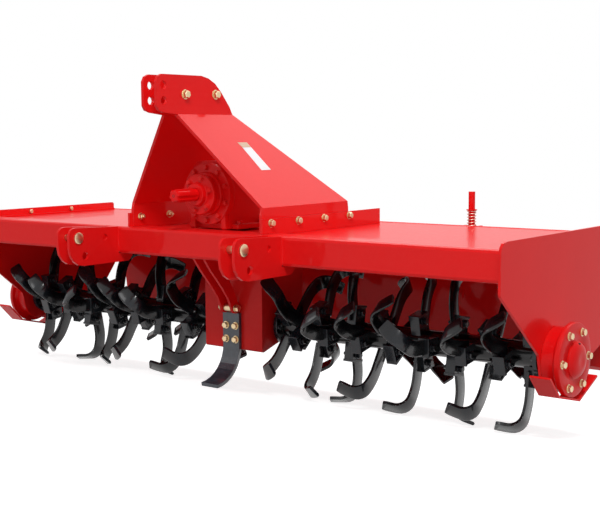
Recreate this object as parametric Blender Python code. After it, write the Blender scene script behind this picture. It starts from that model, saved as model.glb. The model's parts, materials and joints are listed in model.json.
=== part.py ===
"""Rotary tiller for a tractor's three-point hitch, driven at its centre, standing as it parks.

The machine is drawn level, in metres: X along the rotor (+X is the machine's left), Y to the
rear, Z up, and the rotor's axis through the origin. At the end the whole machine is leaned
forward on its centre tine and set on the floor, with its outline centred on the origin.
"""

from math import acos, asin, atan2, cos, hypot, pi, radians, sin, tan

import bmesh
import bpy
from mathutils import Matrix, Vector

for old in list(bpy.data.objects):
    bpy.data.objects.remove(old)

# ---------------------------------------------------------------- driving sizes
GAP = 0.0003                # left between pieces that touch
PIN_GAP = 0.0006            # left round a pin, bolt or shaft in its hole

HALF_WIDTH = 1.078          # axis centre plane to the inner face of an end plate
PLATE = 0.008               # thickness of an end plate
PLATE_TOP = 0.343           # top edge of the end plates
PLATE_FRONT = -0.318
PLATE_REAR = 0.388

BEAM = 0.088                # square main beam, outside
BEAM_WALL = 0.006
BEAM_FRONT = -0.3063
BEAM_TOP = 0.3227

HOOD_TOP = 0.316
HOOD_SHEET = 0.004
BAR_Y = 0.383               # round bar along the hood's rear edge
BAR_RADIUS = 0.010
EDGE_ANGLE = 0.026          # legs of the angle that bolts hood and end plate together
EDGE_ANGLE_T = 0.005
STUB_ROOM = 0.008           # between a stub shaft and the end plate it passes

SWING_RADIUS = 0.225        # blade tips
ROTOR_TUBE = 0.038          # radius of the rotor tube
ROTOR_INNER = 0.137         # where each rotor half starts and ends
ROTOR_OUTER = 1.060
ROTOR_FLANGE = 0.062
ROTOR_FLANGE_T = 0.012
SOCKET = (0.032, 0.052)     # blade holder: along the rotor, across it
SOCKET_REACH = 0.088
FIRST_STATION = 1.020
STATION_PITCH = 0.0605
BLADE_WIDTH = 0.040
BLADE_T = 0.009
STUB = 0.022                # radius of the stub shafts
STUB_END = 1.118            # where they end inside the end bearings
# Lean of the lower blade's shank at every second station, in degrees from straight down
# towards the front; the stations between stand a quarter turn off their neighbours' mean.
LEAN_OF_LOWER_BLADES = (7, 27, -11, 12, 33, -8, 18, 41)
# 1 folds the tip towards the centre, -1 away from it.
TIP_SIDES = (1, 1, -1, 1, 1, 1, -1, -1)

CASE_HALF = 0.122           # final-drive case
CASE_FRONT = -0.100
CASE_REAR = 0.112
CASE_BOTTOM = -0.082

BEARING_RADIUS = 0.104      # end bearings, outside the end plates
BEARING_FACE = 1.147
BEARING_FLANGE_T = 0.016
BEARING_BODY = 0.088
CAP_RADIUS = 0.052
CAP_DEPTH = 0.020
SHOE_T = 0.006
SHOE_PATH = ((-0.152, -0.026), (-0.094, -0.086), (0.034, -0.1185), (0.150, -0.070))

GEARBOX_AXIS = 0.4326       # height of the input shaft
GEARBOX_HALF = 0.078
GEARBOX_TOP = 0.535
GEARBOX_REAR = 0.060
INPUT_FLANGE = 0.097
INPUT_FLANGE_Y = -0.217
INPUT_CAP = 0.065
INPUT_CAP_Y = -0.257
COLLAR = 0.036
COLLAR_Y = -0.274
SHAFT_RADIUS = 0.021
SHAFT_TIP_Y = -0.367
SHAFT_BACK_Y = -0.140       # where the shaft ends inside the housing

MAST_T = 0.010
MAST_HEAD_X = 0.027         # middle of a mast plate's head and of its foot
MAST_FOOT_X = 0.271
MAST_HEAD_Z = 0.677         # the two bends
MAST_FOOT_Z = 0.398
MAST_TOP = 0.796
TOP_LINK_HOLES = ((-0.4324, 0.7634), (-0.4324, 0.7186))
TOP_LINK_RADIUS = 0.0125
TIE_BOLTS = {"front": (-0.342, 0.738), "rear": (-0.206, 0.740)}
TIE_RADIUS = 0.008
RAIL_T = 0.008
RAIL_TOP = 0.3665
RAIL_Y = (-0.288, 0.332)

LUG_X = 0.3415              # middle of each lower hitch point
LUG_GAP = 0.042             # between its two plates
LUG_T = 0.010
LUG_FRONT = -0.515
LUG_BOTTOM = 0.207
HITCH_PIN = (-0.4786, 0.2967)
HITCH_PIN_RADIUS = 0.011
SPARE_HOLE = (-0.4504, 0.2378)
STAY_HOLE = (-0.3657, 0.292)
STAY_RADIUS = 0.010
SPARE_RADIUS = 0.013

TINE_HALF = 0.0345
TINE_T = 0.012
TINE_TOP = 0.0415
TINE_BEND_Z = -0.062        # where the shank starts to curve forward
TINE_BEND = 0.124           # radius of the curve, to the tine's rear face
TINE_SWEEP = radians(88)
ARM_X = 0.022
ARM_T = 0.010
ARM_HOLE = 0.008
ARM_END_RADIUS = 0.0175
ARM_END = (CASE_FRONT - GAP - ARM_END_RADIUS, TINE_TOP + GAP + ARM_END_RADIUS)

HINGE = (0.403, 0.268)      # axis of the trailing board
HINGE_ROD = 0.006
KNUCKLE = 0.010
BOARD_EDGE = (0.450, -0.108)
BOARD_LIP = 0.022
BOARD_SHEET = 0.004
BOARD_HALF = 1.062
KNUCKLE_LENGTH = 0.120
KNUCKLES_AT = (-0.90, -0.30, 0.0, 0.30, 0.90)
EARS_AT = (-1.030, -0.720, -0.150, 0.150, 0.720, 1.030)
EAR_T = 0.008

ROD_X = 0.567               # pressure rods of the trailing board
ROD_Y = 0.455
ROD_RADIUS = 0.011
ROD_TOP = 0.424
GUIDE_Z = 0.292             # swivelling guide that each rod slides through
GUIDE_HALF = 0.0215
GUIDE_BLOCK = 0.018
GUIDE_PIN = 0.008
EYE_Z = 0.100
EYE_RADIUS = 0.0165
EYE_HOLE = 0.0095
EYE_PIN = 0.006
EYE_HALF = 0.008
SPRING_WALL = 0.0042
SPRING_TOP = 0.362
WASHER = 0.018
BRACKET_T = 0.008

# ---------------------------------------------------------------- finishes
PAINT_RED = ((0.76, 0.02, 0.015, 1), 0.22, 0.0)
BLADE_BLACK = ((0.012, 0.012, 0.014, 1), 0.35, 0.0)
TINE_BLACK = ((0.030, 0.034, 0.042, 1), 0.32, 0.0)
ZINC = ((0.70, 0.60, 0.38, 1), 0.35, 1.0)
SPRING_STEEL = ((0.62, 0.55, 0.50, 1), 0.40, 1.0)

# ---------------------------------------------------------------- where things hang
stance = bpy.data.objects.new("stance", None)
bpy.context.scene.collection.objects.link(stance)


def joint_empty(name, y, z, parent=stance):
    """An empty on a joint's axis; what it carries is still drawn in the machine's frame."""
    empty = bpy.data.objects.new(name, None)
    empty.parent = parent
    base = parent.get("axis", (0.0, 0.0))
    empty.location = (0, y - base[0], z - base[1])
    empty["axis"] = (y, z)
    bpy.context.scene.collection.objects.link(empty)
    return empty


rotor_axis = joint_empty("rotor_axis", 0, 0)
input_axis = joint_empty("input_axis", 0, GEARBOX_AXIS)
board_axis = joint_empty("board_axis", *HINGE)
guide_axis = joint_empty("guide_axis", ROD_Y, GUIDE_Z)
rod_axis = joint_empty("rod_axis", ROD_Y, GUIDE_Z, guide_axis)


# ---------------------------------------------------------------- tools
def finish_of(name, look):
    colour, roughness, metallic = look
    material = bpy.data.materials.new(name + "_finish")
    material.use_nodes = True
    shader = material.node_tree.nodes["Principled BSDF"]
    shader.inputs["Base Color"].default_value = colour
    shader.inputs["Roughness"].default_value = roughness
    shader.inputs["Metallic"].default_value = metallic
    return material


def piece(name, bm, look=PAINT_RED, parent=stance, helper=False):
    """Turns a bmesh, drawn in the machine's frame, into an object that hangs from parent."""
    y, z = parent.get("axis", (0.0, 0.0))
    bmesh.ops.translate(bm, verts=bm.verts, vec=(0, -y, -z))
    bmesh.ops.recalc_face_normals(bm, faces=bm.faces)
    mesh = bpy.data.meshes.new(name)
    bm.to_mesh(mesh)
    bm.free()
    mesh.shade_smooth()
    mesh.set_sharp_from_angle(angle=radians(32))
    obj = bpy.data.objects.new(name, mesh)
    obj.parent = parent
    bpy.context.scene.collection.objects.link(obj)
    if helper:
        obj.hide_render = True
        obj.display_type = "WIRE"
    else:
        mesh.materials.append(finish_of(name, look))
    return obj


def change(obj, other, operation):
    modifier = obj.modifiers.new(other.name, "BOOLEAN")
    modifier.operation = operation
    modifier.solver = "EXACT"
    modifier.object = other


def cut(obj, *shapes):
    for number, shape in enumerate(shapes):
        cutter = piece(f"{obj.name}_cut_{number}", shape, parent=obj.parent, helper=True)
        change(obj, cutter, "DIFFERENCE")
    return obj


def weld(obj, *shapes):
    for number, shape in enumerate(shapes):
        added = piece(f"{obj.name}_add_{number}", shape, parent=obj.parent, helper=True)
        change(obj, added, "UNION")
    return obj


PLACES = {
    "X": lambda along, a, b: (along, a, b),
    "Y": lambda along, a, b: (a, along, b),
    "Z": lambda along, a, b: (a, b, along),
}


def prism(outline, axis, low, high, bm=None):
    """Extrudes an outline along axis; its points are the other two coordinates, in order."""
    bm = bm or bmesh.new()
    place = PLACES[axis]
    rings = [[bm.verts.new(place(along, a, b)) for a, b in outline] for along in (low, high)]
    count = len(outline)
    for i in range(count):
        j = (i + 1) % count
        bm.faces.new((rings[0][i], rings[0][j], rings[1][j], rings[1][i]))
    bm.faces.new(rings[0])
    bm.faces.new(rings[1])
    return bm


def tube_prism(outer, inner, axis, low, high):
    """A tube between two outlines of as many points each."""
    bm = bmesh.new()
    place = PLACES[axis]
    loops = [
        [bm.verts.new(place(along, a, b)) for a, b in outline]
        for outline, along in ((outer, low), (outer, high), (inner, high), (inner, low))
    ]
    count = len(outer)
    for k in range(4):
        for i in range(count):
            j = (i + 1) % count
            here, after = loops[k], loops[(k + 1) % 4]
            bm.faces.new((here[i], here[j], after[j], after[i]))
    return bm


def box(low, high, bm=None):
    (x0, y0, z0), (x1, y1, z1) = low, high
    return prism([(y0, z0), (y1, z0), (y1, z1), (y0, z1)], "X", x0, x1, bm)


def circle(centre, radius, count=24):
    return [
        (centre[0] + radius * cos(2 * pi * i / count), centre[1] + radius * sin(2 * pi * i / count))
        for i in range(count)
    ]


def rod(axis, centre, radius, low, high, count=24, bm=None):
    return prism(circle(centre, radius, count), axis, low, high, bm)


def turned(profile, axis, centre, count=32, bm=None):
    """Turns (along, radius) points round an axis; the first and last lie on it."""
    bm = bm or bmesh.new()
    place = PLACES[axis]
    rings = []
    for along, radius in profile:
        if radius == 0:
            rings.append([bm.verts.new(place(along, *centre))])
        else:
            rings.append([bm.verts.new(place(along, a, b)) for a, b in circle(centre, radius, count)])
    for low, high in zip(rings, rings[1:]):
        for i in range(count):
            j = (i + 1) % count
            corners = [low[i % len(low)], low[j % len(low)], high[j % len(high)], high[i % len(high)]]
            bm.faces.new(list(dict.fromkeys(corners)))
    return bm


def rounded(corners, steps=4):
    """An outline from (a, b, radius) corners, each rounded by an arc of that radius."""
    outline = []
    count = len(corners)
    for i, (a, b, radius) in enumerate(corners):
        here = Vector((a, b))
        if radius == 0:
            outline.append((a, b))
            continue
        before = (Vector(corners[i - 1][:2]) - here).normalized()
        after = (Vector(corners[(i + 1) % count][:2]) - here).normalized()
        half = acos(max(-1, min(1, before.dot(after)))) / 2
        reach = radius / tan(half)
        centre = here + (before + after).normalized() * (radius / sin(half))
        start = here + before * reach - centre
        end = here + after * reach - centre
        turn = start.angle_signed(end)
        for k in range(steps + 1):
            angle = -turn * k / steps
            outline.append(tuple(centre + Matrix.Rotation(angle, 2) @ start))
    return outline


def sheet_outline(path, thickness):
    """The outline of a bent sheet whose middle follows path, square at both ends."""
    points = [Vector(p) for p in path]
    left, right = [], []
    for i, point in enumerate(points):
        ahead = (points[min(i + 1, len(points) - 1)] - points[min(i, len(points) - 2)]).normalized()
        behind = (points[max(i, 1)] - points[max(i - 1, 0)]).normalized()
        across = (ahead + behind).normalized()
        side = Vector((-across.y, across.x)) * (thickness / 2 / across.dot(ahead))
        left.append(tuple(point + side))
        right.append(tuple(point - side))
    return left + right[::-1]


SIDES = {"left": 1, "right": -1}


def spans(side, near, far):
    """The low and high X of a piece that reaches from near to far on one side."""
    return sorted((side * near, side * far))


# ---------------------------------------------------------------- beam, plates and hood
BEAM_BACK = BEAM_FRONT + BEAM
BEAM_BOTTOM = BEAM_TOP - BEAM


def square_outline(inset, radius):
    low_y, high_y = BEAM_FRONT + inset, BEAM_BACK - inset
    low_z, high_z = BEAM_BOTTOM + inset, BEAM_TOP - inset
    corners = ((low_y, low_z), (high_y, low_z), (high_y, high_z), (low_y, high_z))
    return rounded([(*corner, radius) for corner in corners], 2)


BEAM_END = HALF_WIDTH - GAP
piece(
    "front_beam",
    tube_prism(
        square_outline(0, 0.010), square_outline(BEAM_WALL, 0.005), "X", -BEAM_END, BEAM_END
    ),
)

end_plate_outline = rounded(
    [
        (PLATE_FRONT, PLATE_TOP, 0.030),
        (PLATE_FRONT, 0.205, 0.012),
        (-0.096, 0.020, 0.0),
        (-0.072, -0.072, 0.060),
        (0.050, -0.100, 0.060),
        (0.150, -0.062, 0.0),
        (0.306, -0.012, 0.030),
        (PLATE_REAR, 0.092, 0.020),
        (PLATE_REAR, PLATE_TOP, 0.008),
    ],
    3,
)
angle_outline = {
    side: [
        (side * (HALF_WIDTH - GAP), HOOD_TOP + GAP),
        (side * (HALF_WIDTH - GAP), HOOD_TOP + EDGE_ANGLE),
        (side * (HALF_WIDTH - GAP - EDGE_ANGLE_T), HOOD_TOP + EDGE_ANGLE),
        (side * (HALF_WIDTH - GAP - EDGE_ANGLE_T), HOOD_TOP + GAP + EDGE_ANGLE_T),
        (side * (HALF_WIDTH - EDGE_ANGLE), HOOD_TOP + GAP + EDGE_ANGLE_T),
        (side * (HALF_WIDTH - EDGE_ANGLE), HOOD_TOP + GAP),
    ]
    for side in SIDES.values()
}
for name, side in SIDES.items():
    plate = piece(
        f"end_plate_{name}",
        prism(end_plate_outline, "X", *spans(side, HALF_WIDTH, HALF_WIDTH + PLATE)),
    )
    cut(plate, rod("X", (0, 0), STUB + STUB_ROOM, -BEARING_FACE, BEARING_FACE, 16))
    piece(
        f"hood_edge_angle_{name}",
        prism(angle_outline[side], "Y", BEAM_BACK + 0.006, BAR_Y - BAR_RADIUS - 0.006),
    )

HOOD_REAR = BAR_Y - BAR_RADIUS - GAP
hood = piece(
    "hood_sheet",
    box(
        (-BEAM_END, BEAM_BACK + GAP, HOOD_TOP - HOOD_SHEET),
        (BEAM_END, HOOD_REAR, HOOD_TOP),
    ),
)
cut(
    hood,
    box(
        (-CASE_HALF - GAP, CASE_FRONT - GAP, HOOD_TOP - 0.05),
        (CASE_HALF + GAP, CASE_REAR + GAP, HOOD_TOP + 0.05),
    ),
)
BAR_Z = HOOD_TOP - 0.008
piece("rear_bar", rod("X", (BAR_Y, BAR_Z), BAR_RADIUS, -BEAM_END, BEAM_END, 20))

# ---------------------------------------------------------------- gearbox and final drive
CASE_TOP = BEAM_TOP
case = piece(
    "final_drive_case",
    prism(
        rounded(
            [
                (CASE_FRONT, CASE_TOP, 0),
                (CASE_FRONT, CASE_BOTTOM, 0.006),
                (0.0, CASE_BOTTOM + 0.030, 0.0),
                (0.075, CASE_BOTTOM + 0.052, 0.040),
                (CASE_REAR, 0.020, 0.030),
                (CASE_REAR, CASE_TOP, 0),
            ],
            3,
        ),
        "X",
        -CASE_HALF,
        CASE_HALF,
    ),
)
STUB_DEPTH = 0.020
for side in SIDES.values():
    near, far = CASE_HALF - STUB_DEPTH - 0.002, CASE_HALF + 0.01
    cut(case, rod("X", (0, 0), STUB + PIN_GAP, *spans(side, near, far)))

box_bottom = CASE_TOP + GAP
housing = piece(
    "gearbox_housing",
    prism(
        rounded(
            [
                (-GEARBOX_HALF, box_bottom, 0),
                (GEARBOX_HALF, box_bottom, 0),
                (GEARBOX_HALF, GEARBOX_TOP, 0.034),
                (-GEARBOX_HALF, GEARBOX_TOP, 0.034),
            ],
            4,
        ),
        "Y",
        INPUT_FLANGE_Y + 0.020,
        GEARBOX_REAR,
    ),
)
LEG_X = (0.055, 0.073)
weld(
    housing,
    rod("Y", (0, GEARBOX_AXIS), INPUT_FLANGE, INPUT_FLANGE_Y, INPUT_FLANGE_Y + 0.024, 28),
    box(
        (-0.105, INPUT_FLANGE_Y + 0.030, box_bottom),
        (0.105, GEARBOX_REAR + 0.030, box_bottom + 0.014),
    ),
    *[
        box(
            (min(s * LEG_X[0], s * LEG_X[1]), INPUT_FLANGE_Y + 0.003, BEAM_TOP + GAP),
            (max(s * LEG_X[0], s * LEG_X[1]), INPUT_FLANGE_Y + 0.060, GEARBOX_AXIS - 0.020),
        )
        for s in SIDES.values()
    ],
)
shaft_bore = rod("Y", (0, GEARBOX_AXIS), SHAFT_RADIUS + PIN_GAP, COLLAR_Y - 0.01, SHAFT_BACK_Y + 0.002, 20)
cut(housing, shaft_bore)
cap_start = INPUT_FLANGE_Y - GAP
cap = piece(
    "input_bearing_cap",
    turned(
        [
            (cap_start, 0),
            (cap_start, INPUT_CAP + 0.004),
            (cap_start - 0.012, INPUT_CAP + 0.004),
            (cap_start - 0.012, INPUT_CAP - 0.006),
            (INPUT_CAP_Y + 0.010, INPUT_CAP - 0.006),
            (INPUT_CAP_Y + 0.010, INPUT_CAP),
            (INPUT_CAP_Y, INPUT_CAP - 0.003),
            (INPUT_CAP_Y, COLLAR),
            (COLLAR_Y, COLLAR - 0.003),
            (COLLAR_Y, 0),
        ],
        "Y",
        (0, GEARBOX_AXIS),
        24,
    ),
)
cut(cap, rod("Y", (0, GEARBOX_AXIS), SHAFT_RADIUS + PIN_GAP, COLLAR_Y - 0.01, cap_start + 0.01, 20))
piece(
    "input_shaft",
    turned(
        [
            (SHAFT_TIP_Y, 0),
            (SHAFT_TIP_Y, SHAFT_RADIUS - 0.005),
            (SHAFT_TIP_Y + 0.005, SHAFT_RADIUS),
            (SHAFT_BACK_Y, SHAFT_RADIUS),
            (SHAFT_BACK_Y, 0),
        ],
        "Y",
        (0, GEARBOX_AXIS),
        20,
    ),
    parent=input_axis,
)


# ---------------------------------------------------------------- mast and its rails
def mast_levels():
    """Each level of a mast plate: height, middle of its thickness, front edge, rear edge."""
    head = [
        (MAST_TOP, -0.438, -0.268),
        (MAST_TOP - 0.007, -0.454, -0.236),
        (MAST_TOP - 0.022, -0.462, -0.206),
        (MAST_TOP - 0.046, -0.462, -0.180),
        (MAST_HEAD_Z + 0.026, -0.462, -0.140),
        (MAST_HEAD_Z + 0.013, -0.454, -0.133),
        (MAST_HEAD_Z + 0.006, -0.432, -0.129),
    ]
    levels = [(z, MAST_HEAD_X, front, rear) for z, front, rear in head]
    levels.append((MAST_HEAD_Z, MAST_HEAD_X, -0.376, -0.126))
    levels.append((MAST_FOOT_Z, MAST_FOOT_X, -0.275, 0.156))
    levels.append((MAST_FOOT_Z - 0.020, MAST_FOOT_X, -0.280, 0.160))
    levels.append((HOOD_TOP + GAP, MAST_FOOT_X, -0.280, 0.160))
    return levels


def mast_shape(side):
    levels = mast_levels()
    middle = [(side * x, z) for z, x, _, _ in levels]
    outline = sheet_outline(middle, MAST_T)
    count = len(levels)
    bm = bmesh.new()
    rows = []
    for i, (_, _, front, rear) in enumerate(levels):
        faces = (outline[i], outline[2 * count - 1 - i])
        rows.append([bm.verts.new((x, y, z)) for x, z in faces for y in (front, rear)])
    for above, below in zip(rows, rows[1:]):
        for a, b in ((0, 1), (1, 3), (3, 2), (2, 0)):
            bm.faces.new((above[a], above[b], below[b], below[a]))
    for row in (rows[0], rows[-1]):
        bm.faces.new((row[0], row[1], row[3], row[2]))
    return bm


RAIL_X = MAST_FOOT_X + MAST_T / 2 + GAP
HEAD_SPAN = 2 * MAST_HEAD_X         # reaches past both heads
BEAM_SPAN = MAST_FOOT_X + 0.1       # reaches past both rails
beam_room = (
    (-BEAM_SPAN, LUG_FRONT, BEAM_BOTTOM),
    (BEAM_SPAN, BEAM_BACK + GAP, BEAM_TOP + GAP),
)
for name, side in SIDES.items():
    mast = piece(f"mast_plate_{name}", mast_shape(side))
    cut(
        mast,
        *[rod("X", hole, TOP_LINK_RADIUS, -HEAD_SPAN, HEAD_SPAN, 14) for hole in TOP_LINK_HOLES],
        *[rod("X", bolt, TIE_RADIUS + PIN_GAP, -HEAD_SPAN, HEAD_SPAN, 8) for bolt in TIE_BOLTS.values()],
        box(*beam_room),
    )
    rail = piece(
        f"mast_rail_{name}",
        box(
            (spans(side, RAIL_X, RAIL_X + RAIL_T)[0], RAIL_Y[0], HOOD_TOP + GAP),
            (spans(side, RAIL_X, RAIL_X + RAIL_T)[1], RAIL_Y[1], RAIL_TOP),
        ),
    )
    cut(rail, box(*beam_room))

HEAD_INNER = MAST_HEAD_X - MAST_T / 2
HEAD_OUTER = MAST_HEAD_X + MAST_T / 2
NUT = 0.0135
NUT_T = 0.012
for name, bolt in TIE_BOLTS.items():
    profile = [
        (-HEAD_OUTER - GAP - NUT_T, 0),
        (-HEAD_OUTER - GAP - NUT_T, NUT),
        (-HEAD_OUTER - GAP, NUT),
        (-HEAD_OUTER - GAP, TIE_RADIUS),
        (-HEAD_INNER + GAP, TIE_RADIUS),
        (-HEAD_INNER + GAP, TIE_RADIUS + 0.005),
        (HEAD_INNER - GAP, TIE_RADIUS + 0.005),
        (HEAD_INNER - GAP, TIE_RADIUS),
        (HEAD_OUTER + GAP, TIE_RADIUS),
        (HEAD_OUTER + GAP, NUT),
        (HEAD_OUTER + GAP + NUT_T, NUT),
        (HEAD_OUTER + GAP + NUT_T, 0),
    ]
    piece(f"mast_tie_bolt_{name}", turned(profile, "X", bolt, 8), ZINC)

# ---------------------------------------------------------------- lower hitch points
lug_outline = rounded(
    [
        (BEAM_FRONT - GAP, BEAM_TOP, 0),
        (LUG_FRONT, BEAM_TOP + 0.008, 0.026),
        (LUG_FRONT, LUG_BOTTOM, 0.058),
        (-0.262, LUG_BOTTOM, 0.014),
        (-0.238, BEAM_BOTTOM - GAP, 0),
        (BEAM_FRONT - GAP, BEAM_BOTTOM - GAP, 0),
    ],
    4,
)
LUG_SPAN = LUG_X + LUG_GAP         # reaches past every hitch plate
PIN_HEAD = 0.018
PIN_HEAD_T = 0.006
for name, side in SIDES.items():
    for place, offset in (("outer", LUG_GAP / 2), ("inner", -LUG_GAP / 2 - LUG_T)):
        low = side * (LUG_X + offset)
        plate = piece(
            f"hitch_plate_{name}_{place}",
            prism(lug_outline, "X", *sorted((low, low + side * LUG_T))),
        )
        cut(
            plate,
            rod("X", HITCH_PIN, HITCH_PIN_RADIUS + PIN_GAP, -LUG_SPAN, LUG_SPAN, 14),
            rod("X", SPARE_HOLE, SPARE_RADIUS, -LUG_SPAN, LUG_SPAN, 14),
            rod("X", STAY_HOLE, STAY_RADIUS, -LUG_SPAN, LUG_SPAN, 12),
        )
    reach = LUG_GAP / 2 + LUG_T + GAP
    profile = [
        (-reach - PIN_HEAD_T, 0),
        (-reach - PIN_HEAD_T, PIN_HEAD),
        (-reach, PIN_HEAD),
        (-reach, HITCH_PIN_RADIUS),
        (reach, HITCH_PIN_RADIUS),
        (reach, PIN_HEAD),
        (reach + PIN_HEAD_T, PIN_HEAD),
        (reach + PIN_HEAD_T, 0),
    ]
    piece(
        f"hitch_pin_{name}",
        turned([(side * LUG_X + along, radius) for along, radius in profile], "X", HITCH_PIN, 14),
        ZINC,
    )

# ---------------------------------------------------------------- centre tine and its arms
TINE_BACK = CASE_FRONT - GAP
tine_path = [(TINE_BACK - TINE_T / 2, TINE_TOP)]
for step in range(9):
    angle = TINE_SWEEP * step / 8
    tine_path.append(
        (
            TINE_BACK - TINE_T / 2 - (TINE_BEND - TINE_T / 2) * (1 - cos(angle)),
            TINE_BEND_Z - (TINE_BEND - TINE_T / 2) * sin(angle),
        )
    )
tine_outline = sheet_outline(tine_path, TINE_T)
piece("centre_tine", prism(tine_outline, "X", -TINE_HALF, TINE_HALF), TINE_BLACK)

ARM_TOP = BEAM_BOTTOM - GAP
arm_start = Vector((-0.262, ARM_TOP))
arm_way = (Vector(ARM_END) - arm_start).normalized()
arm_side = Vector((-arm_way.y, arm_way.x)) * ARM_END_RADIUS


def arm_outline():
    """Straight strap from under the beam to a round end against the final-drive case."""
    points = []
    for side in (1, -1):
        foot = arm_start + arm_side * side
        foot -= arm_way * ((foot.y - ARM_TOP) / arm_way.y)
        points.append(foot)
    outline = [tuple(points[0])]
    for step in range(9):
        turn = Matrix.Rotation(pi * step / 8, 2)
        outline.append(tuple(Vector(ARM_END) + turn.transposed() @ arm_side))
    outline.append(tuple(points[1]))
    return outline


for name, side in SIDES.items():
    arm = piece(
        f"tine_arm_{name}",
        prism(arm_outline(), "X", side * ARM_X - ARM_T / 2, side * ARM_X + ARM_T / 2),
    )
    cut(arm, rod("X", ARM_END, ARM_HOLE, -TINE_HALF, TINE_HALF, 10))

# ---------------------------------------------------------------- end bearings and shoes
plate_outer = HALF_WIDTH + PLATE + GAP
flange_inner = BEARING_FACE - BEARING_FLANGE_T
for name, side in SIDES.items():
    profile = [
        (plate_outer, 0),
        (plate_outer, BEARING_BODY),
        (flange_inner - 0.004, BEARING_BODY),
        (flange_inner, BEARING_RADIUS - 0.003),
        (flange_inner + 0.003, BEARING_RADIUS),
        (BEARING_FACE - 0.002, BEARING_RADIUS),
        (BEARING_FACE, BEARING_RADIUS - 0.002),
        (BEARING_FACE, 0),
    ]
    bearing = piece(
        f"end_bearing_{name}",
        turned([(side * along, radius) for along, radius in profile], "X", (0, 0), 24),
    )
    cut(bearing, rod("X", (0, 0), STUB + PIN_GAP, *spans(side, plate_outer - 0.01, STUB_END + 0.004), 16))
    start = BEARING_FACE + GAP
    profile = [
        (start, 0),
        (start, CAP_RADIUS),
        (start + 0.005, CAP_RADIUS),
        (start + CAP_DEPTH - 0.004, CAP_RADIUS - 0.012),
        (start + CAP_DEPTH, CAP_RADIUS - 0.022),
        (start + CAP_DEPTH, 0),
    ]
    piece(
        f"bearing_cap_{name}",
        turned([(side * along, radius) for along, radius in profile], "X", (0, 0), 28),
    )
    shoe = piece(
        f"skid_shoe_{name}",
        prism(sheet_outline(SHOE_PATH, SHOE_T), "X", *spans(side, plate_outer, BEARING_FACE)),
    )
    cut(shoe, rod("X", (0, 0), BEARING_RADIUS + GAP, -BEARING_FACE - 0.01, BEARING_FACE + 0.01, 24))


# ---------------------------------------------------------------- rotor
def blade_blank(steps=4):
    """Centre line of the flat blank as (radial, trailing, heading) and the place along it."""
    shank, bend, sweep, end = 0.094, 0.118, radians(62), 0.026
    line = [(0.030, 0.0, 0.0, -shank + 0.030), (shank, 0.0, 0.0, 0.0)]
    for step in range(1, steps + 1):
        angle = sweep * step / steps
        line.append((shank + bend * sin(angle), bend * (1 - cos(angle)), angle, bend * angle))
    r, t, angle, along = line[-1]
    line.append((r + end * cos(angle), t + end * sin(angle), angle, along + end))
    return line


FOLD_AT = 0.062             # along the blank, past the shank
FOLD_RADIUS = 0.036
FOLD_ANGLE = radians(78)


def blade_points():
    """Corners of each section of a blade, as (radial, trailing, axial), scaled to the swing."""
    blank = blade_blank()
    heading = 0.0
    fold = None
    for before, after in zip(blank, blank[1:]):
        if before[3] <= FOLD_AT <= after[3]:
            share = (FOLD_AT - before[3]) / (after[3] - before[3])
            fold = Vector([before[k] + share * (after[k] - before[k]) for k in (0, 1)])
            heading = before[2] + share * (after[2] - before[2])
    ahead = Vector((cos(heading), sin(heading)))
    sections = []
    for r, t, angle, _ in blank:
        across = Vector((-sin(angle), cos(angle))) * (BLADE_WIDTH / 2)
        corners = []
        for edge, layer in ((-1, -1), (1, -1), (1, 1), (-1, 1)):
            flat = Vector((r, t)) + across * edge
            depth = BLADE_T / 2 * layer
            past = (flat - fold).dot(ahead)
            if past <= 0:
                corners.append((flat.x, flat.y, depth))
                continue
            turn = min(past / FOLD_RADIUS, FOLD_ANGLE)
            rest = past - turn * FOLD_RADIUS
            run = (FOLD_RADIUS - depth) * sin(turn) + rest * cos(turn)
            rise = FOLD_RADIUS - (FOLD_RADIUS - depth) * cos(turn) + rest * sin(turn)
            moved = flat + ahead * (run - past)
            corners.append((moved.x, moved.y, rise))
        sections.append(corners)
    reach = max(hypot(r, t) for corners in sections for r, t, _ in corners)
    scale = SWING_RADIUS / reach
    return [[(r * scale, t * scale, a) for r, t, a in corners] for corners in sections]


def blade(bm, x, lean, tip_side):
    """Adds a blade that hangs down at x, leaned by an angle towards the front."""
    out = Vector((0, -sin(lean), -cos(lean)))
    trail = Vector((0, -cos(lean), sin(lean)))
    rings = [
        [
            bm.verts.new(Vector((x + tip_side * axial, 0, 0)) + out * radial + trail * back)
            for radial, back, axial in corners
        ]
        for corners in blade_points()
    ]
    for inner, outer in zip(rings, rings[1:]):
        for i in range(4):
            j = (i + 1) % 4
            bm.faces.new((inner[i], inner[j], outer[j], outer[i]))
    bm.faces.new(rings[0])
    bm.faces.new(rings[-1])


def socket(bm, x, lean):
    """Adds the box that holds a blade's shank."""
    out = Vector((0, -sin(lean), -cos(lean)))
    trail = Vector((0, -cos(lean), sin(lean)))
    rings = []
    for radial in (ROTOR_TUBE * 0.6, SOCKET_REACH):
        rings.append(
            [
                bm.verts.new(
                    Vector((x + a * SOCKET[0] / 2, 0, 0)) + out * radial + trail * (b * SOCKET[1] / 2)
                )
                for a, b in ((-1, -1), (1, -1), (1, 1), (-1, 1))
            ]
        )
    for i in range(4):
        j = (i + 1) % 4
        bm.faces.new((rings[0][i], rings[0][j], rings[1][j], rings[1][i]))
    bm.faces.new(rings[0])
    bm.faces.new(rings[1])


def stations():
    """Distance out, lean of the lower blade in degrees and tip side of every station."""
    lower = LEAN_OF_LOWER_BLADES
    rows = []
    for i, lean in enumerate(lower):
        rows.append((FIRST_STATION - 2 * i * STATION_PITCH, lean, TIP_SIDES[i]))
    for i, (lean, after) in enumerate(zip(lower, lower[1:])):
        between = (lean + after) / 2 + 90
        rows.append((FIRST_STATION - (2 * i + 1) * STATION_PITCH, between, -TIP_SIDES[i]))
    return rows


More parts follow.
